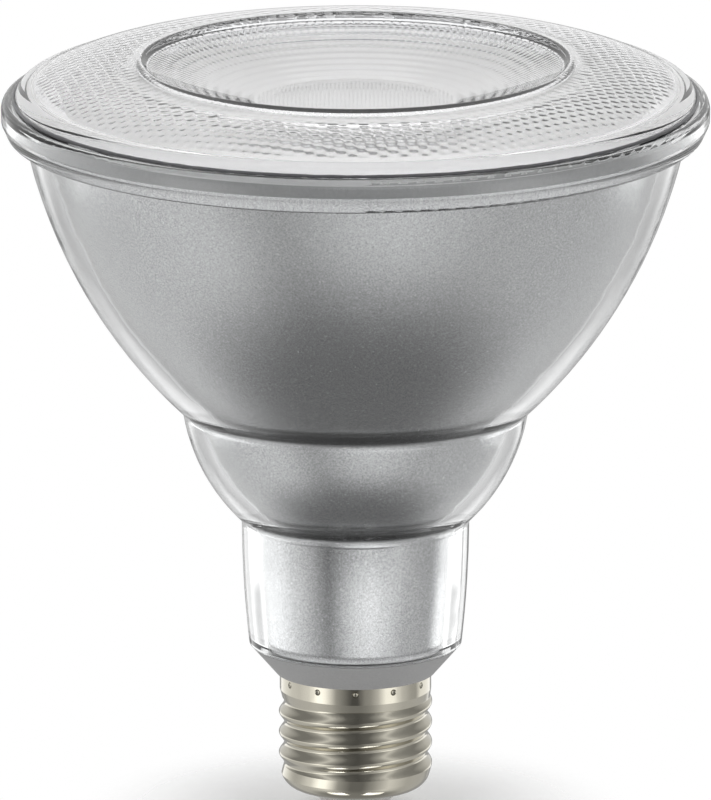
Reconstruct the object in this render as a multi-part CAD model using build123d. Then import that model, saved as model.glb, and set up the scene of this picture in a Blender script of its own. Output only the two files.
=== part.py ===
from build123d import *
import math
import os

# A reflector spotlight bulb with a clear pressed-glass body, a formed aluminium cup inside it,
# a dished front lens, a ring of light-emitting packages, their driver and a screw cap.
# Millimetres, +Z up along the bulb's axis, with Z 0 at the face of the centre contact.

# Heights of the stacked stretches, from the contact upwards
cap_height = 25.0
collar_height = 4.9
neck_height = 22.0
throat_height = 19.2
bowl_height = 48.4
flange_height = 6.0

# Outer radii of the glass, at the ends of those stretches
neck_end_radius = 18.2
waist_radius = 19.5
shoulder_radius = 29.6
bowl_radius = 56.5
flange_overhang = 4.0

# How far each stretch bulges out from its chord, and how its corners are rounded
neck_bulge = 0.3
throat_bulge = 1.85
bowl_bulge = 4.3
crease_round = 1.8
flange_round = 1.1
flange_foot_round = 0.7
flange_undercut = 1.2
flange_crown_drop = 1.4
flange_crown_height = 2.0
rim_top_inset = 0.4
rim_lip_width = 2.1
neck_edge_round = 0.3
glass_wall = 3.0

# Aluminium cup inside the glass
air_gap = 0.4
cup_wall = 1.0
cup_lip_setback = 2.8
cup_end_gap = 0.15

# Front lens and its seat
lens_edge = 3.5
lens_stand = 2.1
lens_wall = 2.4
lens_edge_round = 0.7
lens_seat_width = 3.9
lens_clearance = 0.3
lens_seat_rise = 2.1
dome_rise = 3.8
dome_bulge = 1.4
lip_radius = 1.0
dish_radius = 36.8
dish_depth = 5.9
dish_sag = 0.6
floor_radius = 17.2
dish_rings = 5
ring_bulge = 0.5
sealant_gap = 0.5

# Reflector between the light board and the lens
reflector_wall = 1.2
reflector_flange = 1.0
reflector_foot = 3.0
reflector_bulge = 5.0
reflector_clearance = 0.7

# Light board, its carrier plate, screws and terminal
plate_rise = 1.5
plate_thickness = 2.5
fit_clearance = 0.1
board_setback = 3.5
board_thickness = 1.6
package_side = 3.5
package_height = 0.8
package_gap = 0.65
package_rings = (1, 6, 12)
phosphor_radius = 1.35
phosphor_depth = 0.4
screw_edge = 2.8
screw_count = 3
screw_shank = 1.25
screw_head_radius = 2.6
screw_head_height = 1.9
screw_hole_clearance = 0.35
screw_slot = 0.7
screw_clearance = 0.3
terminal_length = 7.0
terminal_width = 3.8
terminal_height = 2.8
terminal_gap = 1.3
terminal_mouth = 0.75

# Driver housing and its board
spigot_end_gap = 0.2
spigot_clearance = 0.2
spigot_wall = 1.9
collar_step = 0.7
glass_seat_gap = 0.1
collar_setback = 0.25
sleeve_height = 34.0
sleeve_clearance = 0.7
sleeve_wall = 1.2
board_ledge = 1.3
ledge_depth = 2.0
rail_reach = 1.4
rail_width = 1.2
driver_thickness = 1.0
driver_clearance = 0.3
slot_clearance = 0.1

# Parts on the driver board, and how far up from its foot or down from its top they sit
part_clearance = 0.4
capacitor_radius = 4.0
capacitor_length = 13.0
capacitor_round = 0.6
capacitor_groove = 0.35
capacitor_groove_rise = 2.0
capacitor_drop = 9.0
film_width = 7.2
film_depth = 5.0
film_height = 8.0
film_round = 0.6
film_drop = 7.0
surge_radius = 4.5
surge_thickness = 3.4
surge_round = 1.1
surge_rise = 8.0
fuse_radius = 1.6
fuse_length = 8.5
fuse_cap_radius = 1.8
fuse_cap_length = 1.6
fuse_rise = 8.0
core_width = 12.4
core_depth = 5.0
core_yoke = 2.4
core_leg = 4.0
coil_wind = 2.0
coil_height = 7.2
coil_round = 1.0
coil_clearance = 0.1
coil_drop = 10.0
rectifier_width = 4.7
rectifier_depth = 2.4
rectifier_height = 4.0
chip_width = 4.9
chip_depth = 1.5
chip_height = 3.9
chip_rise = 8.0
leg_width = 0.45
leg_reach = 1.0
leg_thickness = 0.2
legs_per_side = 4

# Wires
mains_wire_radius = 0.7
mains_offset = 5.0
mains_bend = 2.5
lead_radius = 0.6
lead_spacing = 2.4
lead_bend = 1.8
lead_bend_share = 0.8

# Screw cap, a rolled knuckle thread
thread_major_radius = 13.17
thread_pitch = 3.629
thread_depth = 0.9
thread_runout = 1.6
thread_crest_level = 17.8
discs_per_turn = 8
shell_wall = 0.3
band_relief = 0.17
band_height = 3.0
shell_turn_in = 2.2
shell_end_radius = 8.8
shell_end_level = 4.7
shell_end_bulge = 0.95
dimple_count = 12
dimple_radius = 0.6
dimple_sink = 0.35
dimple_drop = 1.1

# Insulator and centre contact
insulator_clearance = 0.15
insulator_inset = 0.6
insulator_rise = 3.9
contact_radius = 4.8
contact_face_radius = 3.2
contact_height = 1.4
contact_crown = 0.28
contact_stem = 1.55
contact_stem_height = 2.4

# Levels that follow from the stack
collar_base = cap_height
collar_top = collar_base + collar_height
neck_base = collar_top + glass_seat_gap
waist_level = neck_base + neck_height
shoulder_level = waist_level + throat_height
flange_base = shoulder_level + bowl_height
rim_top = flange_base + flange_height
lens_edge_top = rim_top + lens_stand
lens_base = lens_edge_top - lens_edge
ledge_level = lens_base - reflector_flange - cup_wall
plate_base = shoulder_level + plate_rise
plate_top = plate_base + plate_thickness
board_top = plate_top + board_thickness
dish_lip_level = lens_edge_top + dome_rise
dish_floor = dish_lip_level - dish_depth
sleeve_top = neck_base + sleeve_height
driver_base = neck_base - ledge_depth
band_base = collar_base - band_height
spigot_base = band_base + spigot_end_gap
dimple_level = collar_base - dimple_drop
thread_top = band_base - thread_runout
shell_end_top = shell_end_level + shell_turn_in
thread_base = shell_end_top + thread_runout
insulator_top = shell_end_level + insulator_rise

# Radii that follow from a neighbour and a clearance
rim_radius = bowl_radius + flange_overhang
pocket_radius = rim_radius - rim_lip_width
lens_radius = pocket_radius - lens_clearance
cup_lip_radius = lens_radius - cup_lip_setback
cup_inset = glass_wall + air_gap + cup_wall
reflector_top_radius = bowl_radius - cup_inset - reflector_wall - reflector_clearance
board_radius = shoulder_radius - board_setback
screw_circle = board_radius - screw_edge
reflector_base_radius = screw_circle - screw_head_radius - screw_clearance - reflector_wall
terminal_reach = reflector_base_radius - terminal_gap - terminal_width / 2
package_room = terminal_reach - terminal_width / 2 - package_gap - package_side / 2
package_pitch = package_room / (len(package_rings) - 1)
sleeve_radius = neck_end_radius - cup_inset - sleeve_clearance
sleeve_bore = sleeve_radius - sleeve_wall
driver_half_width = sleeve_bore - driver_clearance
thread_swing = thread_depth / 2
thread_mean_radius = thread_major_radius - thread_swing
band_radius = thread_major_radius - band_relief
spigot_radius = band_radius - shell_wall - spigot_clearance
spigot_bore = min(spigot_radius - spigot_wall, sleeve_bore - board_ledge)
collar_foot_radius = band_radius + collar_step
collar_top_radius = neck_end_radius - collar_setback
insulator_bore = contact_stem + insulator_clearance

# Reach of construction shapes past the body, and how closely long curves are followed
span = 2 * rim_radius
beyond = 10.0
spline_spans = 6

upright = (Align.CENTER, Align.CENTER, Align.MIN)


def turnable(edge):
    # A long curve is followed by a spline, which turns cleanly where its full circle would cross the axis
    small_arc = edge.geom_type == GeomType.CIRCLE and edge.arc_center.X > edge.radius
    if small_arc or edge.geom_type == GeomType.LINE:
        return edge
    points = [edge @ (i / spline_spans) for i in range(spline_spans + 1)]
    return Spline(*points, tangents=(edge % 0, edge % 1)).edge()


def turned(section):
    # A half section in radius and height, turned about the bulb's axis
    outline = Wire([turnable(edge) for edge in section.face().outer_wire().edges()])
    return revolve(Plane.XZ * Face(outline), Axis.Z)


def ring(inner, outer, low, high):
    # Rectangular half section of a ring
    return Pos((inner + outer) / 2, (low + high) / 2) * Rectangle(outer - inner, high - low)


def body_section(inset, low, high):
    # The body's half section between two levels, its wall moved inwards by the inset
    foot = neck_base - beyond
    head = rim_top + beyond
    neck_foot = (neck_end_radius, neck_base)
    waist = (waist_radius, waist_level)
    shoulder = (shoulder_radius, shoulder_level)
    brim = (bowl_radius, flange_base)
    outline = Line((0, foot), (neck_end_radius, foot))
    outline += Line((neck_end_radius, foot), neck_foot)
    outline += SagittaArc(neck_foot, waist, -neck_bulge)
    outline += SagittaArc(waist, shoulder, -throat_bulge)
    outline += SagittaArc(shoulder, brim, -bowl_bulge)
    outline += Line(brim, (bowl_radius, head))
    outline += Line((bowl_radius, head), (0, head))
    outline += Line((0, head), (0, foot))
    half = make_face(outline)
    creases = [half.vertices().sort_by_distance(Vector(*corner))[0] for corner in (waist, shoulder)]
    half = fillet(creases, crease_round)
    whole = half + mirror(half, Plane.YZ)
    if inset:
        whole = offset(whole, -inset, kind=Kind.INTERSECTION)
    return whole & ring(0, span, low, high)


def flange_section():
    # The rounded bead round the glass mouth
    foot = (rim_radius - flange_undercut, flange_base)
    crown_top = (rim_radius, rim_top - flange_crown_drop)
    crown_foot = (rim_radius, rim_top - flange_crown_drop - flange_crown_height)
    top = (rim_radius - rim_top_inset, rim_top)
    inner = bowl_radius - glass_wall / 2
    bead = Polygon((inner, flange_base), foot, crown_foot, crown_top, top, (inner, rim_top), align=None)
    rounded = (foot, crown_foot, crown_top, top)
    corners = [bead.vertices().sort_by_distance(Vector(*corner))[0] for corner in rounded]
    return fillet(corners, flange_round)


def glass_body():
    outer = body_section(0, neck_base, rim_top)
    edge = outer.vertices().sort_by_distance(Vector(neck_end_radius, neck_base))[0]
    outer = fillet([edge], neck_edge_round)
    section = outer + flange_section()
    foot = section.vertices().sort_by_distance(Vector(bowl_radius, flange_base))[0]
    section = fillet([foot], flange_foot_round)
    section -= body_section(glass_wall, neck_base, rim_top)
    section -= ring(0, pocket_radius, ledge_level, rim_top)
    return turned(section)


def heat_cup():
    # Formed aluminium cup, hung in the glass by its turned-out lip
    low = neck_base + cup_end_gap
    high = ledge_level + cup_wall
    section = body_section(glass_wall + air_gap, low, high)
    section += ring(bowl_radius - cup_inset, cup_lip_radius, ledge_level, high)
    section -= body_section(cup_inset, low, high)
    return turned(section)


def lens_top():
    # Upper line of the lens, from the axis outwards: floor, smooth dish, lip, dome and edge
    inner_lip = (dish_radius - lip_radius, dish_lip_level)
    outer_lip = (dish_radius + lip_radius, dish_lip_level)
    floor_edge = (floor_radius, dish_floor)
    line = Line((0, dish_floor), floor_edge)
    line += SagittaArc(floor_edge, inner_lip, -dish_sag)
    line += SagittaArc(inner_lip, outer_lip, lip_radius)
    line += SagittaArc(outer_lip, (lens_radius, lens_edge_top), dome_bulge)
    return line


def lens_underside():
    # Lower line of the lens, from the axis outwards: floor, rounded rings under the dish, dome and seat
    seat_radius = lens_radius - lens_seat_width
    ring_width = (dish_radius + lip_radius - floor_radius) / dish_rings
    ring_rise = dish_depth / dish_rings
    low = dish_floor - lens_wall
    line = Line((0, low), (floor_radius, low))
    for step in range(dish_rings):
        start = (floor_radius + step * ring_width, low + step * ring_rise)
        end = (start[0] + ring_width, start[1] + ring_rise)
        line += SagittaArc(start, end, -ring_bulge)
    line += SagittaArc(end, (seat_radius, lens_base + lens_seat_rise), dome_bulge)
    line += Line((seat_radius, lens_base + lens_seat_rise), (seat_radius, lens_base))
    line += Line((seat_radius, lens_base), (lens_radius, lens_base))
    return line


def front_lens():
    outline = lens_top() + lens_underside()
    outline += Line((lens_radius, lens_edge_top), (lens_radius, lens_base))
    outline += Line((0, dish_floor - lens_wall), (0, dish_floor))
    section = make_face(outline)
    edge = section.vertices().sort_by_distance(Vector(lens_radius, lens_edge_top))[0]
    return turned(fillet([edge], lens_edge_round))


def lens_sealant():
    outer = pocket_radius - fit_clearance
    return turned(ring(cup_lip_radius + sealant_gap, outer, ledge_level, lens_base))


def reflector():
    # White moulded bowl, its flange clamped between the cup's lip and the lens
    low = board_top + reflector_foot
    high = lens_base - reflector_flange
    outer_radius = reflector_base_radius + reflector_wall
    outer_foot = (outer_radius, low)
    outer_head = (reflector_top_radius + reflector_wall, high)
    inner_foot = (reflector_base_radius, low)
    inner_head = (reflector_top_radius, lens_base)
    outline = Line(inner_foot, (reflector_base_radius, board_top))
    outline += Line((reflector_base_radius, board_top), (outer_radius, board_top))
    outline += Line((outer_radius, board_top), outer_foot)
    outline += SagittaArc(outer_foot, outer_head, -reflector_bulge)
    outline += Line(outer_head, (cup_lip_radius, high))
    outline += Line((cup_lip_radius, high), (cup_lip_radius, lens_base))
    outline += Line((cup_lip_radius, lens_base), inner_head)
    outline += SagittaArc(inner_foot, inner_head, -reflector_bulge)
    return turned(make_face(outline))


def lead_slot(low, high):
    # The slot that the two leads come up through
    width = 2 * (lead_radius + screw_clearance)
    slot = SlotOverall(lead_spacing + width, width)
    return Pos(0, -terminal_reach, low) * extrude(slot, high - low)


def screw_places(level):
    # Evenly spaced places for the board screws, the first one at the back
    turn = 360 / screw_count
    return [Rot(0, 0, 90 + turn * i) * Pos(screw_circle, 0, level) for i in range(screw_count)]


def mounting_plate():
    plate = turned(body_section(cup_inset + fit_clearance, plate_base, plate_top))
    plate -= lead_slot(plate_base, plate_top)
    bore = Cylinder(screw_shank + fit_clearance, plate_thickness, align=upright)
    for place in screw_places(plate_base):
        plate -= place * bore
    return plate


def led_board():
    board = Pos(0, 0, plate_top) * Cylinder(board_radius, board_thickness, align=upright)
    board -= lead_slot(plate_top, board_top)
    bore = Cylinder(screw_shank + screw_hole_clearance, board_thickness, align=upright)
    for place in screw_places(plate_top):
        board -= place * bore
    return board


def package_places():
    # One package in the middle and full rings round it
    places = []
    for index, count in enumerate(package_rings):
        for i in range(count):
            places.append(Rot(0, 0, 360 / count * i) * Pos(index * package_pitch, 0, board_top))
    return places


def led_packages():
    package = Box(package_side, package_side, package_height, align=upright)
    well = Cylinder(phosphor_radius + fit_clearance, phosphor_depth, align=upright)
    package -= Pos(0, 0, package_height - phosphor_depth) * well
    return [place * package for place in package_places()]


def led_phosphors():
    fill = Cylinder(phosphor_radius, phosphor_depth, align=upright)
    fill = Pos(0, 0, package_height - phosphor_depth) * fill
    return [place * fill for place in package_places()]


def board_screws():
    reach = board_thickness + plate_thickness
    screw = Pos(0, 0, -reach) * Cylinder(screw_shank, reach, align=upright)
    head = Cylinder(screw_head_radius, screw_head_height, align=upright)
    rim = head.edges().group_by(Axis.Z)[-1]
    head = fillet(rim, screw_slot)
    drive = Pos(0, 0, screw_head_height) * Box(2 * screw_shank, screw_slot, screw_head_height)
    screw += head - drive - Rot(0, 0, 90) * drive
    return [place * screw for place in screw_places(board_top)]


def lead_places():
    return [side * lead_spacing / 2 for side in (1, -1)]


def wire_terminal():
    block = Box(terminal_length, terminal_width, terminal_height, align=upright)
    block = fillet(block.edges().filter_by(Axis.Z), terminal_mouth)
    for x in lead_places():
        block -= Pos(x, 0, terminal_height) * Cylinder(terminal_mouth, terminal_height)
    return Pos(0, -terminal_reach, board_top) * block


def board_rails():
    # Two pairs of ribs inside the sleeve, a slot between each pair for the board's edge
    reach = rail_reach + sleeve_wall / 2
    rib = Box(reach, rail_width, sleeve_top - driver_base, align=(Align.MAX, Align.MIN, Align.MIN))
    rib = Pos(sleeve_bore + sleeve_wall / 2, driver_thickness / 2 + slot_clearance, driver_base) * rib
    pair = rib + mirror(rib, Plane.XZ)
    return pair + mirror(pair, Plane.YZ)


def driver_housing():
    # Collar under the glass, spigot in the cap and sleeve round the driver, moulded as one
    outline = Polyline(
        (spigot_bore, spigot_base),
        (spigot_radius, spigot_base),
        (spigot_radius, collar_base),
        (collar_foot_radius, collar_base),
        (collar_top_radius, collar_top),
        (sleeve_radius, collar_top),
        (sleeve_radius, sleeve_top),
        (sleeve_bore, sleeve_top),
        (sleeve_bore, driver_base),
        (spigot_bore, driver_base),
        close=True,
    )
    section = make_face(outline)
    groove_depth = dimple_sink + shell_wall
    half_groove = dimple_radius + shell_wall + fit_clearance
    section -= ring(spigot_radius - groove_depth, span, dimple_level - half_groove, collar_base)
    return turned(section) + board_rails()


def driver_board():
    height = sleeve_top - driver_base
    return Pos(0, 0, driver_base) * Box(2 * driver_half_width, driver_thickness, height, align=upright)


def front_of_board(x, level):
    # A place on the board's +Y face, with local Z standing off the face
    return Plane((x, driver_thickness / 2, level), x_dir=(1, 0, 0), z_dir=(0, 1, 0))


def back_of_board(x, level):
    # A place on the board's -Y face, with local Z standing off the face
    return Plane((x, -driver_thickness / 2, level), x_dir=(1, 0, 0), z_dir=(0, -1, 0))


def outermost(half_width, depth):
    # How far out a part of this depth can stand on the board and still clear the sleeve and its rails
    stand_off = driver_thickness / 2 + depth
    reach = math.sqrt((sleeve_bore - part_clearance) ** 2 - stand_off**2)
    return min(reach, sleeve_bore - rail_reach - part_clearance) - half_width


def bulk_capacitor():
    can = Cylinder(capacitor_radius, capacitor_length)
    can = fillet(can.edges().filter_by(GeomType.CIRCLE), capacitor_round)
    groove = Torus(capacitor_radius + capacitor_groove, 2 * capacitor_groove)
    can -= Pos(0, 0, capacitor_groove_rise - capacitor_length / 2) * groove
    stand_off = driver_thickness / 2 + capacitor_radius
    reach = math.sqrt((sleeve_bore - part_clearance - capacitor_radius) ** 2 - stand_off**2)
    place = front_of_board(-reach, sleeve_top - capacitor_drop)
    return place * Pos(0, 0, capacitor_radius) * Rot(90, 0, 0) * can


def film_capacitor():
    block = Box(film_width, film_height, film_depth, align=upright)
    block = fillet(block.edges().filter_by(Axis.Z), film_round)
    return front_of_board(outermost(film_width / 2, film_depth), sleeve_top - film_drop) * block


def surge_disc():
    disc = Cylinder(surge_radius, surge_thickness, align=upright)
    disc = fillet(disc.edges().group_by(Axis.Z)[-1], surge_round)
    return front_of_board(outermost(surge_radius, surge_thickness), driver_base + surge_rise) * disc


def fuse_resistor():
    body = Cylinder(fuse_radius, fuse_length)
    end_shift = (fuse_length - fuse_cap_length) / 2
    for side in (1, -1):
        body += Pos(0, 0, side * end_shift) * Cylinder(fuse_cap_radius, fuse_cap_length)
    place = front_of_board(-outermost(fuse_cap_radius, 2 * fuse_cap_radius), driver_base + fuse_rise)
    return place * Pos(0, 0, fuse_cap_radius) * Rot(90, 0, 0) * body


def coil_place():
    # Middle of the transformer, its coil standing on the board
    stand_off = core_depth / 2 + coil_clearance + coil_wind
    return back_of_board(0, sleeve_top - coil_drop) * Pos(0, 0, stand_off)


def transformer_core():
    window_height = coil_height + 2 * coil_clearance
    window_width = coil_wind + 2 * coil_clearance
    core = Box(core_width, window_height + 2 * core_yoke, core_depth)
    for side in (1, -1):
        core -= Pos(side * (core_leg + window_width) / 2, 0, 0) * Box(window_width, window_height, core_depth)
    return coil_place() * core


def transformer_coil():
    bore_width = core_leg + 2 * coil_clearance
    bore_depth = core_depth + 2 * coil_clearance
    coil = Box(bore_width + 2 * coil_wind, coil_height, bore_depth + 2 * coil_wind)
    coil = fillet(coil.edges().filter_by(Axis.Y), coil_round)
    return coil_place() * (coil - Box(bore_width, coil_height, bore_depth))


def legged_package(width, depth, height):
    # A moulded package on two rows of flat legs
    body = Pos(0, 0, leg_thickness) * Box(width, height, depth - leg_thickness, align=upright)
    pitch = width / legs_per_side
    leg = Box(leg_width, height + 2 * leg_reach, 2 * leg_thickness, align=upright)
    for i in range(legs_per_side):
        body += Pos((i - (legs_per_side - 1) / 2) * pitch, 0, 0) * leg
    return body


def bridge_rectifier():
    place = back_of_board(-outermost(rectifier_width / 2, rectifier_depth), driver_base + chip_rise)
    return place * legged_package(rectifier_width, rectifier_depth, rectifier_height)


def control_chip():
    place = back_of_board(outermost(chip_width / 2, chip_depth), driver_base + chip_rise)
    return place * legged_package(chip_width, chip_depth, chip_height)


def wire(points, bend, radius):
    # A round wire along straight runs joined by tangent arcs
    path = FilletPolyline(*points, radius=bend)
    profile = Plane(path @ 0, z_dir=path % 0) * Circle(radius)
    return sweep(profile, path)


def live_wire():
    start = contact_height + contact_stem_height
    middle = (insulator_top + driver_base) / 2
    low = (0, 0, middle - mains_bend)
    high = (mains_offset, 0, middle + mains_bend)
    points = [(0, 0, start), low, high, (mains_offset, 0, driver_base)]
    return wire(points, mains_bend, mains_wire_radius)


def neutral_wire():
    # Ends against the shell, at a root of the thread
    level = thread_crest_level - thread_pitch / 2
    reach = thread_mean_radius - shell_wall - thread_swing - driver_clearance
    points = [(-mains_offset, 0, driver_base), (-mains_offset, 0, level), (-reach, 0, level)]
    return wire(points, mains_bend, mains_wire_radius)


def led_lead(x):
    # From the terminal down through the slot, and across above the sleeve to the driver board
    turn = (sleeve_top + plate_base) / 2
    points = [(x, -terminal_reach, board_top), (x, -terminal_reach, turn), (x, 0, turn), (x, 0, sleeve_top)]
    bend = min(lead_bend, lead_bend_share * (turn - sleeve_top))
    return wire(points, bend, lead_radius)


def thread_disc(radius, level):
    # The thread's round section at a level, off centre towards its crest there
    turn = math.radians(180 + 360 * (level - thread_crest_level) / thread_pitch)
    return Pos(thread_swing * math.cos(turn), thread_swing * math.sin(turn), level) * Circle(radius)


def thread_turns(radius):
    # A knuckle thread is a stack of discs whose centres go round once in each pitch
    rise = thread_top - thread_base
    steps = math.ceil(discs_per_turn * rise / thread_pitch)
    discs = [thread_disc(radius, thread_base + rise * i / steps) for i in range(steps + 1)]
    foot = Pos(0, 0, shell_end_top) * Circle(radius)
    head = Pos(0, 0, band_base) * Circle(radius + band_radius - thread_mean_radius)
    turns = loft(discs) + loft([foot, discs[0]]) + loft([discs[-1], head])
    return turns + extrude(head, band_height)


def shell_end(radius, lift):
    # The shell's lower end, drawn in towards the insulator
    top = (radius, shell_end_top)
    end = (shell_end_radius, shell_end_level + lift)
    outline = Line((0, end[1]), end)
    outline += SagittaArc(end, top, -shell_end_bulge)
    outline += Line(top, (0, top[1]))
    outline += Line((0, top[1]), (0, end[1]))
    return turned(make_face(outline))


def screw_shell():
    inner_radius = thread_mean_radius - shell_wall
    shell = thread_turns(thread_mean_radius) + shell_end(thread_mean_radius, 0)
    shell -= thread_turns(inner_radius) + shell_end(inner_radius, shell_wall)
    shell -= Pos(0, 0, shell_end_level) * Cylinder(shell_end_radius, 2 * shell_wall + shell_turn_in)
    centre = band_radius + dimple_radius - dimple_sink
    for i in range(dimple_count):
        place = Rot(0, 0, 360 / dimple_count * i) * Pos(centre, 0, dimple_level)
        bump = place * Sphere(dimple_radius + shell_wall)
        shell += bump & Pos(0, 0, dimple_level) * Cylinder(band_radius - shell_wall / 2, band_height)
        shell -= place * Sphere(dimple_radius)
    return shell


def base_insulator():
    # Moulded plug that fills the shell's end and carries the contact
    neck = shell_end_radius - insulator_clearance
    shoulder = thread_mean_radius - thread_swing - shell_wall - insulator_inset
    outline = Polyline(
        (insulator_bore, contact_height),
        (contact_radius + insulator_clearance, contact_height),
        (neck, shell_end_level),
        (neck, shell_end_level + 2 * shell_wall),
        (shoulder, insulator_top - shell_wall),
        (shoulder, insulator_top),
        (insulator_bore, insulator_top),
        close=True,
    )
    return turned(make_face(outline))


def centre_contact():
    # Round button with a stem up into the insulator
    outline = Line((0, 0), (contact_face_radius, 0))
    stem_top = contact_height + contact_stem_height
    outline += SagittaArc((contact_face_radius, 0), (contact_radius, contact_height), -contact_crown)
    outline += Line((contact_radius, contact_height), (contact_stem, contact_height))
    outline += Line((contact_stem, contact_height), (contact_stem, stem_top))
    outline += Line((contact_stem, stem_top), (0, stem_top))
    outline += Line((0, stem_top), (0, 0))
    return turned(make_face(outline))


positive_x, negative_x = lead_places()
nodes = {
    "glass_body": glass_body(),
    "front_lens": front_lens(),
    "lens_sealant": lens_sealant(),
    "heat_cup": heat_cup(),
    "reflector": reflector(),
    "mounting_plate": mounting_plate(),
    "led_board": led_board(),
    "led_packages": led_packages(),
    "led_phosphors": led_phosphors(),
    "board_screws": board_screws(),
    "wire_terminal": wire_terminal(),
    "driver_housing": driver_housing(),
    "driver_board": driver_board(),
    "bulk_capacitor": bulk_capacitor(),
    "film_capacitor": film_capacitor(),
    "surge_disc": surge_disc(),
    "fuse_resistor": fuse_resistor(),
    "transformer_core": transformer_core(),
    "transformer_coil": transformer_coil(),
    "bridge_rectifier": bridge_rectifier(),
    "control_chip": control_chip(),
    "live_wire": live_wire(),
    "neutral_wire": neutral_wire(),
    "positive_lead": led_lead(positive_x),
    "negative_lead": led_lead(negative_x),
    "screw_shell": screw_shell(),
    "base_insulator": base_insulator(),
    "centre_contact": centre_contact(),
}

os.makedirs("parts", exist_ok=True)
for name, shape in nodes.items():
    pieces = shape if isinstance(shape, list) else [shape]
    solids = [solid for piece in pieces for solid in piece.solids()]
    export_step(Compound(children=solids) if len(solids) > 1 else solids[0], f"parts/{name}.step")
    print(name, len(solids), round(sum(solid.volume for solid in solids), 1))
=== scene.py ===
import bpy
import math
import numpy as np
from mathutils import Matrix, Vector


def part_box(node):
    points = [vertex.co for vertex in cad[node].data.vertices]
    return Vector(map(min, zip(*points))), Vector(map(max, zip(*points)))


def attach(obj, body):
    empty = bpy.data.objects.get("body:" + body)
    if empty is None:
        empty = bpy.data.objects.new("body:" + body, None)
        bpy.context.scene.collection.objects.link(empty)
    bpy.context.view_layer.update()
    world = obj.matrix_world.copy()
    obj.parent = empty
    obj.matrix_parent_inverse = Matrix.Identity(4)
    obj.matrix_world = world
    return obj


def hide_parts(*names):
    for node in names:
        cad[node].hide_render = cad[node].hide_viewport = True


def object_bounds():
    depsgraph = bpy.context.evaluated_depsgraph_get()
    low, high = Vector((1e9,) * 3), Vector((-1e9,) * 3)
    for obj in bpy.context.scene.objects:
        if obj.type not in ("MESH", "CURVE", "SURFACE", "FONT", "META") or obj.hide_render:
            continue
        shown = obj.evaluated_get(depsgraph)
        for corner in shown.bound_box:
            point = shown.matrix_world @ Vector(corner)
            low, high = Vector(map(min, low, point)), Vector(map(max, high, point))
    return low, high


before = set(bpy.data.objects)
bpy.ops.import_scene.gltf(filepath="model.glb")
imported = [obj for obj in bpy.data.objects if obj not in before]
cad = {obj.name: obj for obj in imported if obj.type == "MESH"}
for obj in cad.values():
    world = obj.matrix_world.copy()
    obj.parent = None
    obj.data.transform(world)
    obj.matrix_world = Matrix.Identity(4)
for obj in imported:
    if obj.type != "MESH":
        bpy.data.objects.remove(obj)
cadLow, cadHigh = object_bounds()
mm = 0.001
print("frame loaded,", len(cad), "nodes")


# helpers

def tint(code):
    # sRGB hex to linear
    parts = [int(code[i:i + 2], 16) / 255 for i in (1, 3, 5)]
    return [p / 12.92 if p <= 0.04045 else ((p + 0.055) / 1.055) ** 2.4 for p in parts] + [1.0]


def addNode(tree, kind, settings=None, links=None):
    node = tree.nodes.new(kind)
    for key, value in (settings or {}).items():
        if isinstance(key, str) and hasattr(node, key):
            setattr(node, key, value)
        else:
            node.inputs[key].default_value = value
    for socket, source in (links or {}).items():
        tree.links.new(source, node.inputs[socket])
    return node


def newMaterial(name, settings):
    material = bpy.data.materials.new(name)
    material.use_nodes = True
    tree = material.node_tree
    shader = tree.nodes["Principled BSDF"]
    for key, value in settings.items():
        shader.inputs[key].default_value = value
    place = addNode(tree, "ShaderNodeTexCoord").outputs["Object"]
    return material, tree, shader, place


def wear(nodeName, material):
    mesh = cad[nodeName].data
    mesh.materials.clear()
    mesh.materials.append(material)


def deselectAll():
    bpy.ops.object.select_all(action="DESELECT")
    bpy.context.view_layer.objects.active = None


# finishes

def pressedGlass():
    # soda-lime glass pressed in a mould: clear, with a faint ripple from the mould
    rippleSize = 7 * mm
    rippleDepth = 0.3 * mm
    material, tree, shader, place = newMaterial("pressedGlass", {
        "Base Color": tint("#FCFDFD"), "Transmission Weight": 1.0, "IOR": 1.5, "Roughness": 0.0})
    ripple = addNode(tree, "ShaderNodeTexNoise", {"Scale": 1 / rippleSize, "Detail": 1.0}, {"Vector": place})
    bump = addNode(tree, "ShaderNodeBump", {"Strength": 0.05, "Distance": rippleDepth},
                   {"Height": ripple.outputs["Fac"]})
    tree.links.new(bump.outputs["Normal"], shader.inputs["Normal"])
    return material


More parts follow.
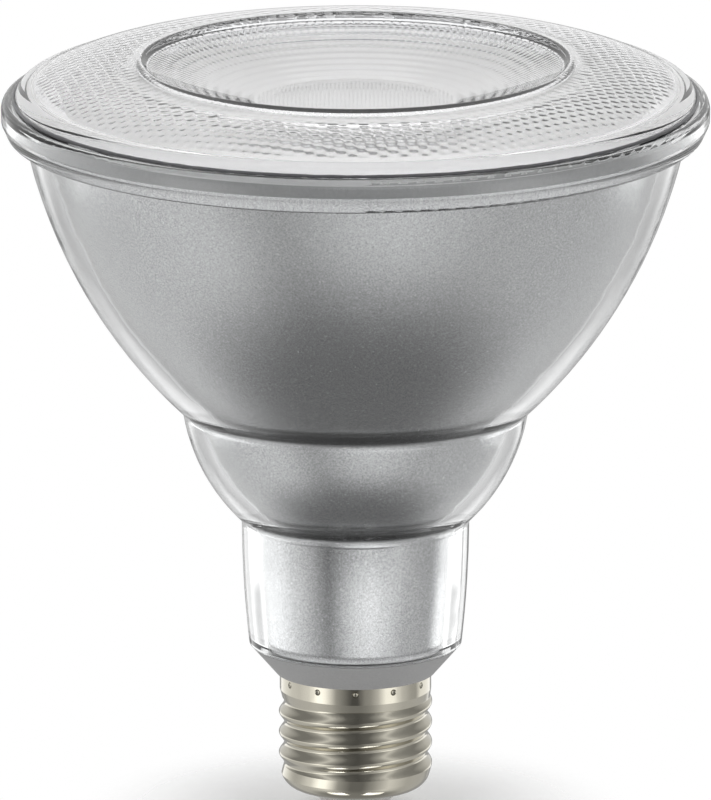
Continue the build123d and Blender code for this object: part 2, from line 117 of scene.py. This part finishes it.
def mouldedAcrylic():
    # injection-moulded acrylic: clear and glossy, with a faint ripple from its flow
    # and a fine square grid on the floor of the dish
    flowSize = 6 * mm
    flowDepth = 0.3 * mm
    gridPitch = 0.7 * mm
    gridDepth = 0.03 * mm
    gridRadius = 16.8 * mm
    waveLength = 0.314  # a wave texture of scale 1 repeats after this length
    material, tree, shader, place = newMaterial("mouldedAcrylic", {
        "Base Color": tint("#FCFCFD"), "Transmission Weight": 1.0, "IOR": 1.49, "Roughness": 0.02})
    ripple = addNode(tree, "ShaderNodeTexNoise", {"Scale": 1 / flowSize, "Detail": 1.0}, {"Vector": place})
    flow = addNode(tree, "ShaderNodeBump", {"Strength": 0.03, "Distance": flowDepth},
                   {"Height": ripple.outputs["Fac"]})
    pitch = {"Scale": waveLength / gridPitch, "wave_profile": "SIN"}
    rows = addNode(tree, "ShaderNodeTexWave", {"bands_direction": "X", **pitch}, {"Vector": place})
    columns = addNode(tree, "ShaderNodeTexWave", {"bands_direction": "Y", **pitch}, {"Vector": place})
    grid = addNode(tree, "ShaderNodeMath", {"operation": "MULTIPLY"},
                   {0: rows.outputs["Fac"], 1: columns.outputs["Fac"]})
    level = addNode(tree, "ShaderNodeVectorMath", {"operation": "MULTIPLY", 1: (1, 1, 0)}, {0: place})
    reach = addNode(tree, "ShaderNodeVectorMath", {"operation": "LENGTH"}, {0: level.outputs[0]})
    inside = addNode(tree, "ShaderNodeMath", {"operation": "LESS_THAN", 1: gridRadius},
                     {0: reach.outputs["Value"]})
    floorGrid = addNode(tree, "ShaderNodeMath", {"operation": "MULTIPLY"},
                        {0: grid.outputs[0], 1: inside.outputs[0]})
    bump = addNode(tree, "ShaderNodeBump", {"Strength": 0.3, "Distance": gridDepth},
                   {"Height": floorGrid.outputs[0], "Normal": flow.outputs["Normal"]})
    tree.links.new(bump.outputs["Normal"], shader.inputs["Normal"])
    return material


def blastedAluminium():
    # formed aluminium with a blasted grain: satin silver with a speckle, drawn coarse enough to show
    grainSize = 0.3 * mm
    grainDepth = 0.05 * mm
    material, tree, shader, place = newMaterial("blastedAluminium", {"Metallic": 1.0})
    grain = addNode(tree, "ShaderNodeTexNoise", {"Scale": 1 / grainSize, "Detail": 2.0}, {"Vector": place})
    shade = addNode(tree, "ShaderNodeMapRange", {"From Min": 0.3, "From Max": 0.7},
                    {"Value": grain.outputs["Fac"]})
    colour = addNode(tree, "ShaderNodeMix", {"data_type": "RGBA", 6: tint("#B6B6B7"), 7: tint("#D9D9DA")},
                     {0: shade.outputs["Result"]})
    rough = addNode(tree, "ShaderNodeMapRange", {"To Min": 0.2, "To Max": 0.3},
                    {"Value": grain.outputs["Fac"]})
    bump = addNode(tree, "ShaderNodeBump", {"Strength": 0.12, "Distance": grainDepth},
                   {"Height": grain.outputs["Fac"]})
    tree.links.new(colour.outputs[2], shader.inputs["Base Color"])
    tree.links.new(rough.outputs["Result"], shader.inputs["Roughness"])
    tree.links.new(bump.outputs["Normal"], shader.inputs["Normal"])
    return material


def pressedSilicone():
    # moulded silicone gasket in soft grey, with a painted highlight: its top face, above a set height, is
    # drawn white
    grainSize = 0.5 * mm
    paintedHighlightHeight = 124.1 * mm
    material, tree, shader, place = newMaterial("pressedSilicone", {"Roughness": 0.4})
    grain = addNode(tree, "ShaderNodeTexNoise", {"Scale": 1 / grainSize, "Detail": 2.0}, {"Vector": place})
    side = addNode(tree, "ShaderNodeMix", {"data_type": "RGBA", 6: tint("#A2A2A3"), 7: tint("#BABABB")},
                   {0: grain.outputs["Fac"]})
    height = addNode(tree, "ShaderNodeSeparateXYZ", {}, {0: place})
    # painted highlight: white on the top face only, while the sides keep the grey grain
    paintedTopHighlight = addNode(tree, "ShaderNodeMath", {"operation": "GREATER_THAN", 1: paintedHighlightHeight},
                   {0: height.outputs["Z"]})
    colour = addNode(tree, "ShaderNodeMix", {"data_type": "RGBA", 7: tint("#F2F2F2")},
                     {0: paintedTopHighlight.outputs[0], 6: side.outputs[2]})
    tree.links.new(colour.outputs[2], shader.inputs["Base Color"])
    return material


def mottled(name, dark, light, grainSize, settings):
    # a moulded, painted or plated surface whose tone and relief drift a little over grainSize
    reliefDepth = 0.05 * mm
    material, tree, shader, place = newMaterial(name, settings)
    grain = addNode(tree, "ShaderNodeTexNoise", {"Scale": 1 / grainSize, "Detail": 2.0}, {"Vector": place})
    colour = addNode(tree, "ShaderNodeMix", {"data_type": "RGBA", 6: tint(dark), 7: tint(light)},
                     {0: grain.outputs["Fac"]})
    bump = addNode(tree, "ShaderNodeBump", {"Strength": 0.06, "Distance": reliefDepth},
                   {"Height": grain.outputs["Fac"]})
    tree.links.new(colour.outputs[2], shader.inputs["Base Color"])
    tree.links.new(bump.outputs["Normal"], shader.inputs["Normal"])
    return material


# nodes, finish, darker and lighter tone, size of the drift in mm, roughness, metallic
plainFinishes = [
    # matt white moulding that scatters the light behind the lens
    (["reflector"], "whitePolycarbonate", "#EDEDEC", "#F4F4F3", 2.0, 0.45, 0.0),
    # machined plate with a soft silver sheen
    (["mounting_plate"], "milledAluminium", "#C4C4C5", "#D0D0D1", 1.0, 0.35, 1.0),
    # even white lacquer on the light board, and the slightly yellower resin of what is soldered to it
    (["led_board"], "whiteSolderMask", "#ECECE8", "#F3F3EF", 2.0, 0.4, 0.0),
    (["led_packages", "wire_terminal"], "whiteResin", "#E6E6E2", "#F0F0EC", 1.0, 0.4, 0.0),
    # glossy yellow gel
    (["led_phosphors"], "phosphorGel", "#E9C94E", "#F2D96B", 0.6, 0.3, 0.0),
    # bright bluish plating
    (["board_screws"], "zincSteel", "#A4A5A8", "#B2B3B5", 0.6, 0.3, 1.0),
    # moulded collar in a flat silver-grey
    (["driver_housing"], "silverGreyMoulding", "#B2B2B2", "#C4C4C4", 0.4, 0.5, 0.0),
    # glass-fibre board under green lacquer
    (["driver_board"], "greenLaminate", "#1F5B38", "#2A6B44", 3.0, 0.4, 0.0),
    # shrunk sleeve with a low gloss
    (["bulk_capacitor"], "blackSleeve", "#1A1A1C", "#242427", 2.0, 0.35, 0.0),
    # dipped coats with a soft gloss
    (["film_capacitor"], "yellowDip", "#D9A92B", "#E3B63C", 2.0, 0.35, 0.0),
    (["surge_disc"], "blueDip", "#2450A0", "#2F5DB0", 2.0, 0.4, 0.0),
    # pale green lacquer over ceramic
    (["fuse_resistor"], "lacqueredCeramic", "#A6B096", "#B4BDA4", 1.0, 0.45, 0.0),
    # dull dark grey, pressed and fired
    (["transformer_core"], "sinteredFerrite", "#2B2B2D", "#353537", 0.6, 0.6, 0.0),
    # varnished winding with a brown shine
    (["transformer_coil"], "enamelledCopper", "#A8642F", "#B8743C", 0.5, 0.3, 1.0),
    # moulded chip cases, dull black
    (["bridge_rectifier", "control_chip"], "blackEpoxy", "#1C1C1D", "#262627", 0.6, 0.55, 0.0),
    # extruded silicone sleeves, smooth and a little glossy
    (["live_wire", "negative_lead"], "blackWireSleeve", "#1B1B1C", "#252526", 1.0, 0.4, 0.0),
    (["neutral_wire"], "whiteWireSleeve", "#E2E2DD", "#ECECE8", 1.0, 0.4, 0.0),
    (["positive_lead"], "redWireSleeve", "#B0241C", "#BE3228", 1.0, 0.4, 0.0),
    # bright plating with a warm tone
    (["screw_shell"], "nickelPlate", "#B3AFA2", "#BCB8AB", 3.0, 0.1, 1.0),
    # pale moulding with a low gloss
    (["base_insulator"], "paleInsulator", "#DAD9D4", "#E4E3DE", 1.0, 0.3, 0.0),
    # tinned button, softly shiny
    (["centre_contact"], "tinnedContact", "#B5B3AB", "#C2C0B8", 0.8, 0.25, 1.0),
]

acrylic = mouldedAcrylic()
wear("glass_body", pressedGlass())
wear("front_lens", acrylic)
wear("heat_cup", blastedAluminium())
wear("lens_sealant", pressedSilicone())
for nodeNames, finish, dark, light, grain, roughness, metallic in plainFinishes:
    coat = mottled(finish, dark, light, grain * mm, {"Metallic": metallic, "Roughness": roughness})
    for nodeName in nodeNames:
        wear(nodeName, coat)
print("finishes given")


# front lens with its optics moulded underneath, in place of the plain one

lens = {
    "wall": 2.4 * mm, "turns": 640, "topStep": 1.2 * mm, "mergeGap": 0.002 * mm, "smoothAngle": 35,
    # dish in the middle, with a flat floor
    "floorRadius": 17.2 * mm, "floorStep": 3 * mm,
    "dishRadius": 36.8 * mm, "dishDepth": 5.9 * mm, "dishSag": 0.6 * mm,
    # lip round the dish, over its arc in degrees, and its run-out into the dome
    "lipRadius": 1.0 * mm, "lipStart": 160, "lipEnd": 65, "lipSteps": 7,
    "lipFoot": 40.5 * mm, "runOutSag": 0.1 * mm, "runOutStep": 0.6 * mm,
    # dome, outer edge and the seat under it
    "domeRise": 3.8 * mm, "domeBulge": 1.4 * mm,
    "edgeRise": 0.25 * mm, "edgeRound": 2.0 * mm, "edgeSteps": 8, "edgeHeight": 3.5 * mm,
    "seatWidth": 3.9 * mm, "seatRise": 2.1 * mm,
    # hollow behind the lip
    "underLipFoot": 39.5 * mm, "underLipPeak": 36.0 * mm, "underLipRise": 1.0 * mm,
    # honeycomb of pillows under the dome, with the depth at its inner and outer side
    "pillowPitch": 2.0 * mm, "pillowDepth": (0.08 * mm, 0.11 * mm), "pillowTurn": -21.0,
    "pillowInner": 39.0 * mm, "pillowOuter": 53.4 * mm, "pillowStep": 0.36 * mm,
    # rings under the dish, with beads that grow deeper outwards
    "rings": 10, "ringBulge": 0.09 * mm, "beadFrom": 25.0 * mm, "beadMargin": 0.1 * mm,
    "beadPitch": 1.3 * mm, "beadDepth": 0.09 * mm, "beadStep": 0.5 * mm,
    # share of the wall below the top where the underside is taken to start
    "skinShare": 0.2,
}


def bowed(start, end, bulge, step):
    # points along a gentle arc that stands off its chord by bulge, without the first
    start, end = Vector(start), Vector(end)
    chord = end - start
    side = Vector((-chord.y, chord.x)).normalized()
    count = max(2, round(chord.length / step))
    places = [i / count for i in range(1, count + 1)]
    return [start + chord * t + side * 4 * bulge * t * (1 - t) for t in places]


def rounded(centre, radius, start, end, count):
    # points along a corner's arc, turned from start to end in degrees
    turns = [math.radians(start + (end - start) * i / count) for i in range(1, count + 1)]
    return [Vector((centre[0] + radius * math.cos(t), centre[1] + radius * math.sin(t))) for t in turns]


def lensTop(rimTop, radius):
    # half section of the top, from the axis outwards and round the edge
    lipLevel = rimTop + lens["domeRise"]
    floor = lipLevel - lens["dishDepth"]
    outerLip = lens["dishRadius"] + lens["lipRadius"]
    corner = radius - lens["edgeRound"]
    edgeTop = rimTop + lens["edgeRise"]
    top = [Vector((0, floor))]
    top += bowed(top[-1], (lens["floorRadius"], floor), 0, lens["floorStep"])
    crown = rounded((lens["dishRadius"], lipLevel), lens["lipRadius"],
                    lens["lipStart"], lens["lipEnd"], lens["lipSteps"])
    top += bowed(top[-1], crown[0], -lens["dishSag"], lens["topStep"])
    # the lip rounds over and runs out gently into the dome
    dome = bowed((outerLip, lipLevel), (corner, edgeTop), lens["domeBulge"], lens["topStep"])
    dome = [p for p in dome if p.x > lens["lipFoot"]]
    top += crown[1:]
    top += bowed(top[-1], dome[0], -lens["runOutSag"], lens["runOutStep"])
    top += dome[1:]
    edgeCentre = (corner, rimTop - lens["edgeRound"] + lens["edgeRise"])
    top += rounded(edgeCentre, lens["edgeRound"], 90, 0, lens["edgeSteps"])
    return top


def lensUnderside(rimTop, radius, top):
    # half section of the underside, from the edge back to the axis
    lipLevel = rimTop + lens["domeRise"]
    base = rimTop - lens["edgeHeight"]
    seat = radius - lens["seatWidth"]
    foot = lens["underLipFoot"]
    under = [Vector((radius, base)), Vector((seat, base)), Vector((seat, base + lens["seatRise"]))]
    # the wall under the dome is even, or the light would be caught inside it
    reach = [p.x for p in top]
    height = [p.y for p in top]
    seatWall = np.interp(seat, reach, height) - base - lens["seatRise"]
    steps = round((seat - foot) / lens["pillowStep"])
    for r in np.linspace(seat, foot, steps + 1)[1:]:
        wall = np.interp(r, (foot, seat), (lens["wall"], seatWall))
        under.append(Vector((r, np.interp(r, reach, height) - wall)))
    peak = (lens["underLipPeak"], lipLevel - lens["wall"] + lens["underLipRise"])
    under += bowed(under[-1], peak, 0, lens["topStep"])
    width = (lens["underLipPeak"] - lens["floorRadius"]) / lens["rings"]
    rise = (lens["dishDepth"] + lens["underLipRise"]) / lens["rings"]
    for i in range(lens["rings"]):
        start = under[-1]
        under += bowed(start, (start.x - width, start.y - rise), lens["ringBulge"], lens["beadStep"])
    under += bowed(under[-1], (0, under[-1].y), 0, lens["floorStep"])
    return under


def pillowSag(x, y):
    # share of the pillow's depth at a point, 0 at a crown and 1 at a corner of the honeycomb
    turn = math.radians(lens["pillowTurn"])
    c, s = math.cos(turn), math.sin(turn)
    u = (c * x + s * y) / lens["pillowPitch"]
    v = (c * y - s * x) / (math.sqrt(3) * lens["pillowPitch"])
    gaps = []
    for shift in (0.0, 0.5):
        du = (u - shift) - np.round(u - shift)
        dv = (v - shift) - np.round(v - shift)
        gaps.append(du ** 2 + 3 * dv ** 2)
    return np.minimum(*gaps) * 3


def beadSag(r, turn):
    # the same for the beads round each ring under the dish, staggered from ring to ring
    width = (lens["underLipPeak"] - lens["floorRadius"]) / lens["rings"]
    ring = np.clip(np.floor((r - lens["floorRadius"]) / width), 0, lens["rings"] - 1)
    count = np.round(2 * math.pi * (lens["floorRadius"] + (ring + 0.5) * width) / lens["beadPitch"])
    share = turn / (2 * math.pi) * count + 0.5 * (ring % 2)
    return (2 * (share - np.round(share))) ** 2


def mouldUnderside(mesh, top):
    # sinks the gaps between pillows and between beads into the underside
    points = np.zeros(len(mesh.vertices) * 3)
    mesh.vertices.foreach_get("co", points)
    x, y, z = points.reshape(-1, 3).T
    r = np.hypot(x, y)
    upper = np.interp(r, [p.x for p in top], [p.y for p in top])
    below = z < upper - lens["skinShare"] * lens["wall"]
    pillows = below & (r > lens["pillowInner"]) & (r < lens["pillowOuter"])
    beads = below & (r > lens["beadFrom"]) & (r < lens["underLipPeak"] - lens["beadMargin"])
    depth = np.interp(r, (lens["pillowInner"], lens["pillowOuter"]), lens["pillowDepth"])
    z = z + np.where(pillows, pillowSag(x, y) * depth, 0)
    depth = np.interp(r, (lens["beadFrom"], lens["underLipPeak"]), (0, lens["beadDepth"]))
    z = z + np.where(beads, beadSag(r, np.arctan2(y, x)) * depth, 0)
    mesh.vertices.foreach_set("co", np.stack([x, y, z], 1).ravel())
    mesh.update()


def buildLens():
    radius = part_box("front_lens")[1].x
    rimTop = cadHigh.z - lens["lipRadius"] - lens["domeRise"]
    top = lensTop(rimTop, radius)
    profile = top + lensUnderside(rimTop, radius, top)
    deselectAll()
    mesh = bpy.data.meshes.new("pillow_lens")
    mesh.from_pydata([(p.x, 0, p.y) for p in profile], [(i, i + 1) for i in range(len(profile) - 1)], [])
    piece = bpy.data.objects.new("pillow_lens", mesh)
    bpy.context.scene.collection.objects.link(piece)
    bpy.context.view_layer.objects.active = piece
    piece.select_set(True)
    bpy.ops.object.mode_set(mode="EDIT")
    bpy.ops.mesh.select_all(action="SELECT")
    bpy.ops.mesh.spin(steps=lens["turns"], angle=2 * math.pi, center=(0, 0, 0), axis=(0, 0, 1))
    bpy.ops.mesh.select_all(action="SELECT")
    bpy.ops.mesh.remove_doubles(threshold=lens["mergeGap"])
    bpy.ops.mesh.normals_make_consistent(inside=False)
    bpy.ops.object.mode_set(mode="OBJECT")
    mouldUnderside(mesh, top)
    bpy.ops.object.shade_smooth_by_angle(angle=math.radians(lens["smoothAngle"]))
    mesh.materials.append(acrylic)
    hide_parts("front_lens")
    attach(piece, "root")
    print("lens built,", len(mesh.polygons), "faces")


buildLens()


# line of adhesive in the corner between the lens and the glass, drawn dark and uneven as painted shade: it
# stands in for the dark line that the glass crown shows at the lens edge

adhesiveShadeLine = {"thickness": 0.3 * mm, "segments": 360, "sides": 10, "unevenness": 0.22 * mm, "wave": 1.2 * mm}


def paintedShadeAdhesive():
    # cured adhesive, a little glossy with a cloudy tone; its dark grey is painted shade for the dark line at
    # the lens edge
    cloudSize = 0.8 * mm
    return mottled("paintedShadeAdhesive", "#505052", "#707073", cloudSize, {"Roughness": 0.35})


def buildAdhesiveShadeLine():
    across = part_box("front_lens")[1].x + adhesiveShadeLine["thickness"]
    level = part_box("glass_body")[1].z + adhesiveShadeLine["thickness"]
    deselectAll()
    bpy.ops.mesh.primitive_torus_add(
        major_segments=adhesiveShadeLine["segments"], minor_segments=adhesiveShadeLine["sides"], major_radius=across,
        minor_radius=adhesiveShadeLine["thickness"], location=(0, 0, level))
    piece = bpy.context.active_object
    piece.name = "lens_adhesive_shade_line"
    bpy.ops.object.transform_apply(location=True, rotation=True, scale=True)
    lumps = bpy.data.textures.new("shadeLineLumps", "CLOUDS")
    lumps.noise_scale = adhesiveShadeLine["wave"]
    uneven = piece.modifiers.new("uneven", "DISPLACE")
    uneven.texture = lumps
    uneven.strength = adhesiveShadeLine["unevenness"]
    bpy.ops.object.modifier_apply(modifier=uneven.name)
    bpy.ops.object.shade_smooth()
    # the ring's dark grey is painted shade, not the adhesive's own colour
    piece.data.materials.append(paintedShadeAdhesive())
    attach(piece, "root")
    print("adhesive laid")


buildAdhesiveShadeLine()


# studio

studio = {
    "floorRadius": 0.15, "floorSides": 96, "floorFadeFrom": 0.018, "floorFadeTo": 0.048, "skyForShading": 0.5,
    # the surroundings are rings of pale panels from the zenith down, each with the sine of the height
    # where it starts and is full, and its level by bearing from the camera in degrees
    "seenOutside": [
        (1.0, 0.9, [(-180, 0.95)]),
        (0.96, 0.9, [
            (-180, 0.95), (-140, 0.9), (-110, 0.35), (-92, 0.35), (-72, 0.6), (-57, 1.1), (-44, 0.6),
            (-24, 0.2), (0, 0.13), (24, 0.22), (44, 0.6), (57, 1.1), (72, 0.6), (92, 0.4), (110, 0.35),
            (140, 0.9), (179, 0.95)]),
        (-0.04, -0.12, [
            (-180, 0.45), (-160, 0.45), (-155, 1.6), (-110, 1.1), (-96, 1.04), (-75, 1.3), (-60, 2.3),
            (-50, 2.2), (-30, 0.6), (-20, 0.4), (-6, 0.13), (4, 0.13), (14, 0.45), (23, 0.53), (35, 0.9),
            (48, 1.9), (60, 1.9), (75, 1.0), (94, 0.65), (106, 0.6), (116, 1.4), (155, 1.6), (160, 0.45),
            (179, 0.45)]),
        (-0.3, -0.4, [
            (-180, 0.45), (-152, 0.45), (-140, 0.75), (-95, 0.85), (-57, 1.2), (-30, 0.6), (-10, 0.25),
            (10, 0.25), (30, 0.6), (57, 1.2), (95, 0.75), (140, 0.7), (152, 0.45), (179, 0.45)]),
        (-0.75, -0.95, [(-180, 0.35)]),
    ],
    "seenThroughGlass": [
        (1.0, 0.9, [(-180, 2.85)]),
        (0.9, 0.75, [(-180, 0.95)]),
        (0.03, -0.05, [
            (-180, 0.7), (-162, 0.7), (-155, 1.6), (-98, 1.4), (-74, 0.6), (-35, 0.15), (0, 0.08),
            (30, 0.2), (50, 0.8), (70, 0.5), (106, 0.5), (116, 1.4), (155, 1.6), (162, 0.7), (179, 0.7)]),
        (-0.27, -0.31, [
            (-180, 0.9), (-168, 0.9), (-155, 0.45), (-136, 0.7), (-124, 1.85), (-98, 1.85), (-72, 1.15),
            (-32, 0.22), (0, 1.85), (20, 2.2), (60, 0.72), (102, 0.55), (114, 1.95), (126, 1.95),
            (138, 0.7), (155, 0.45), (168, 0.9), (179, 0.9)]),
        (-0.39, -0.46, [
            (-180, 1.2), (-164, 1.2), (-152, 0.45), (-140, 0.75), (-86, 0.85), (-66, 0.88), (-32, 0.5),
            (0, 0.9), (20, 0.95), (60, 0.58), (85, 0.65), (140, 0.7), (152, 0.5), (164, 1.2), (179, 1.2)]),
        (-0.72, -0.98, [(-180, 0.19)]),
    ],
    "lamps": [
        # name, place, height aimed at, width, height, watts, spread in degrees
        ("leftSoftbox", (-0.45, -0.75, 0.75), 0.07, 0.35, 0.45, 1.4, 180),
        ("rightSoftbox", (0.45, -0.75, 0.75), 0.07, 0.35, 0.45, 1.2, 180),
        ("backSoftbox", (0.0, 0.6, 0.85), 0.07, 0.6, 0.6, 4.0, 180),
        # small gridded cards below, which only the cap mirrors
        ("leftCard", (-0.014, -0.018, -0.03), 0.014, 0.016, 0.012, 0.0002, 50),
        ("rightCard", (0.014, -0.018, -0.03), 0.014, 0.016, 0.012, 0.0002, 50),
    ],
}


def buildFloor():
    deselectAll()
    bpy.ops.mesh.primitive_circle_add(
        vertices=studio["floorSides"], radius=studio["floorRadius"], fill_type="NGON")
    floor = bpy.context.active_object
    floor.name = "studioFloor"
    material, tree, shader, place = newMaterial(
        "paleFloor", {"Base Color": tint("#F5F5F5"), "Roughness": 0.9})
    # the floor fades into the white around it, past the shadow
    length = addNode(tree, "ShaderNodeVectorMath", {"operation": "LENGTH"}, {0: place})
    fade = addNode(tree, "ShaderNodeMapRange", {
        "interpolation_type": "SMOOTHSTEP",
        "From Min": studio["floorFadeFrom"], "From Max": studio["floorFadeTo"]},
        {"Value": length.outputs["Value"]})
    clear = addNode(tree, "ShaderNodeBsdfTransparent")
    mixed = addNode(tree, "ShaderNodeMixShader", {},
                    {0: fade.outputs["Result"], 1: shader.outputs[0], 2: clear.outputs[0]})
    tree.links.new(mixed.outputs[0], tree.nodes["Material Output"].inputs["Surface"])
    floor.data.materials.append(material)
    # metal and glass see the panels instead
    floor.visible_glossy = False
    floor.visible_transmission = False


def panelRings(tree, rings, share, height):
    # the rings' levels, each laid over the one above it
    seen = None
    for start, full, panels in rings:
        ramp = addNode(tree, "ShaderNodeValToRGB", {}, {"Fac": share})
        stops = ramp.color_ramp.elements
        stops.remove(stops[1])
        for i, (degrees, level) in enumerate(panels):
            stop = stops[0] if i == 0 else stops.new(degrees / 360 + 0.5)
            stop.color = (level, level, level, 1)
        depth = addNode(tree, "ShaderNodeMapRange", {
            "interpolation_type": "SMOOTHSTEP", "From Min": start, "From Max": full}, {"Value": height})
        links = {0: depth.outputs["Result"], 6: seen or ramp.outputs["Color"], 7: ramp.outputs["Color"]}
        seen = addNode(tree, "ShaderNodeMix", {"data_type": "RGBA"}, links).outputs[2]
    return seen


def buildWorld():
    world = bpy.data.worlds.new("studioSky")
    bpy.context.scene.world = world
    world.use_nodes = True
    tree = world.node_tree
    plain = tree.nodes["Background"]
    plain.inputs["Color"].default_value = (1, 1, 1, 1)
    plain.inputs["Strength"].default_value = studio["skyForShading"]
    # metal and glass see pale panels with gaps, by bearing and height
    way = addNode(tree, "ShaderNodeTexCoord").outputs["Generated"]
    axes = addNode(tree, "ShaderNodeSeparateXYZ", {}, {0: way})
    front = addNode(tree, "ShaderNodeMath", {"operation": "MULTIPLY", 1: -1.0}, {0: axes.outputs["Y"]})
    bearing = addNode(tree, "ShaderNodeMath", {"operation": "ARCTAN2"},
                      {0: axes.outputs["X"], 1: front.outputs[0]})
    share = addNode(tree, "ShaderNodeMapRange", {"From Min": -math.pi, "From Max": math.pi},
                    {"Value": bearing.outputs[0]}).outputs["Result"]
    outside = panelRings(tree, studio["seenOutside"], share, axes.outputs["Z"])
    throughGlass = panelRings(tree, studio["seenThroughGlass"], share, axes.outputs["Z"])
    path = addNode(tree, "ShaderNodeLightPath").outputs
    seen = addNode(tree, "ShaderNodeMix", {"data_type": "RGBA"},
                   {0: path["Is Transmission Ray"], 6: outside, 7: throughGlass})
    # the camera itself sees plain white
    shown = addNode(tree, "ShaderNodeMix", {"data_type": "RGBA", 7: (1, 1, 1, 1)},
                    {0: path["Is Camera Ray"], 6: seen.outputs[2]})
    pale = addNode(tree, "ShaderNodeBackground", {"Strength": 1.0}, {"Color": shown.outputs[2]})
    mirrored = addNode(tree, "ShaderNodeMath", {"operation": "MAXIMUM"},
                       {0: path["Is Glossy Ray"], 1: path["Is Transmission Ray"]})
    direct = addNode(tree, "ShaderNodeMath", {"operation": "MAXIMUM"},
                     {0: path["Is Camera Ray"], 1: mirrored.outputs[0]})
    mixed = addNode(tree, "ShaderNodeMixShader", {},
                    {0: direct.outputs[0], 1: plain.outputs[0], 2: pale.outputs[0]})
    tree.links.new(mixed.outputs[0], tree.nodes["World Output"].inputs["Surface"])


def buildLamps():
    for name, place, aim, width, height, watts, spread in studio["lamps"]:
        light = bpy.data.lights.new(name, "AREA")
        light.shape = "RECTANGLE"
        light.size = width
        light.size_y = height
        light.energy = watts
        light.spread = math.radians(spread)
        lamp = bpy.data.objects.new(name, light)
        bpy.context.scene.collection.objects.link(lamp)
        lamp.location = place
        lamp.rotation_euler = (Vector((0, 0, aim)) - lamp.location).to_track_quat("-Z", "Y").to_euler()
        # the softboxes light the object but aren't mirrored in it
        lamp.visible_glossy = spread < 180
        lamp.visible_transmission = False


camera = {"elevation": 14.0, "lens": 1000.0, "sensor": 36.0, "clipEnd": 20.0,
          "frameHeight": 136.9 * mm, "aimHeight": 72.7 * mm}


def buildCamera():
    data = bpy.data.cameras.new("photoCamera")
    data.lens = camera["lens"]
    data.sensor_width = camera["sensor"]
    distance = camera["frameHeight"] * data.lens / data.sensor_width
    data.clip_end = camera["clipEnd"]
    eye = bpy.data.objects.new("photoCamera", data)
    bpy.context.scene.collection.objects.link(eye)
    tilt = math.radians(camera["elevation"])
    back = Vector((0, -math.cos(tilt), math.sin(tilt)))
    eye.location = Vector((0, 0, camera["aimHeight"])) + back * distance
    eye.rotation_euler = (-back).to_track_quat("-Z", "Y").to_euler()
    bpy.context.scene.camera = eye


buildFloor()
buildWorld()
buildLamps()
buildCamera()
bpy.context.scene.view_settings.view_transform = "Standard"
print("studio built")
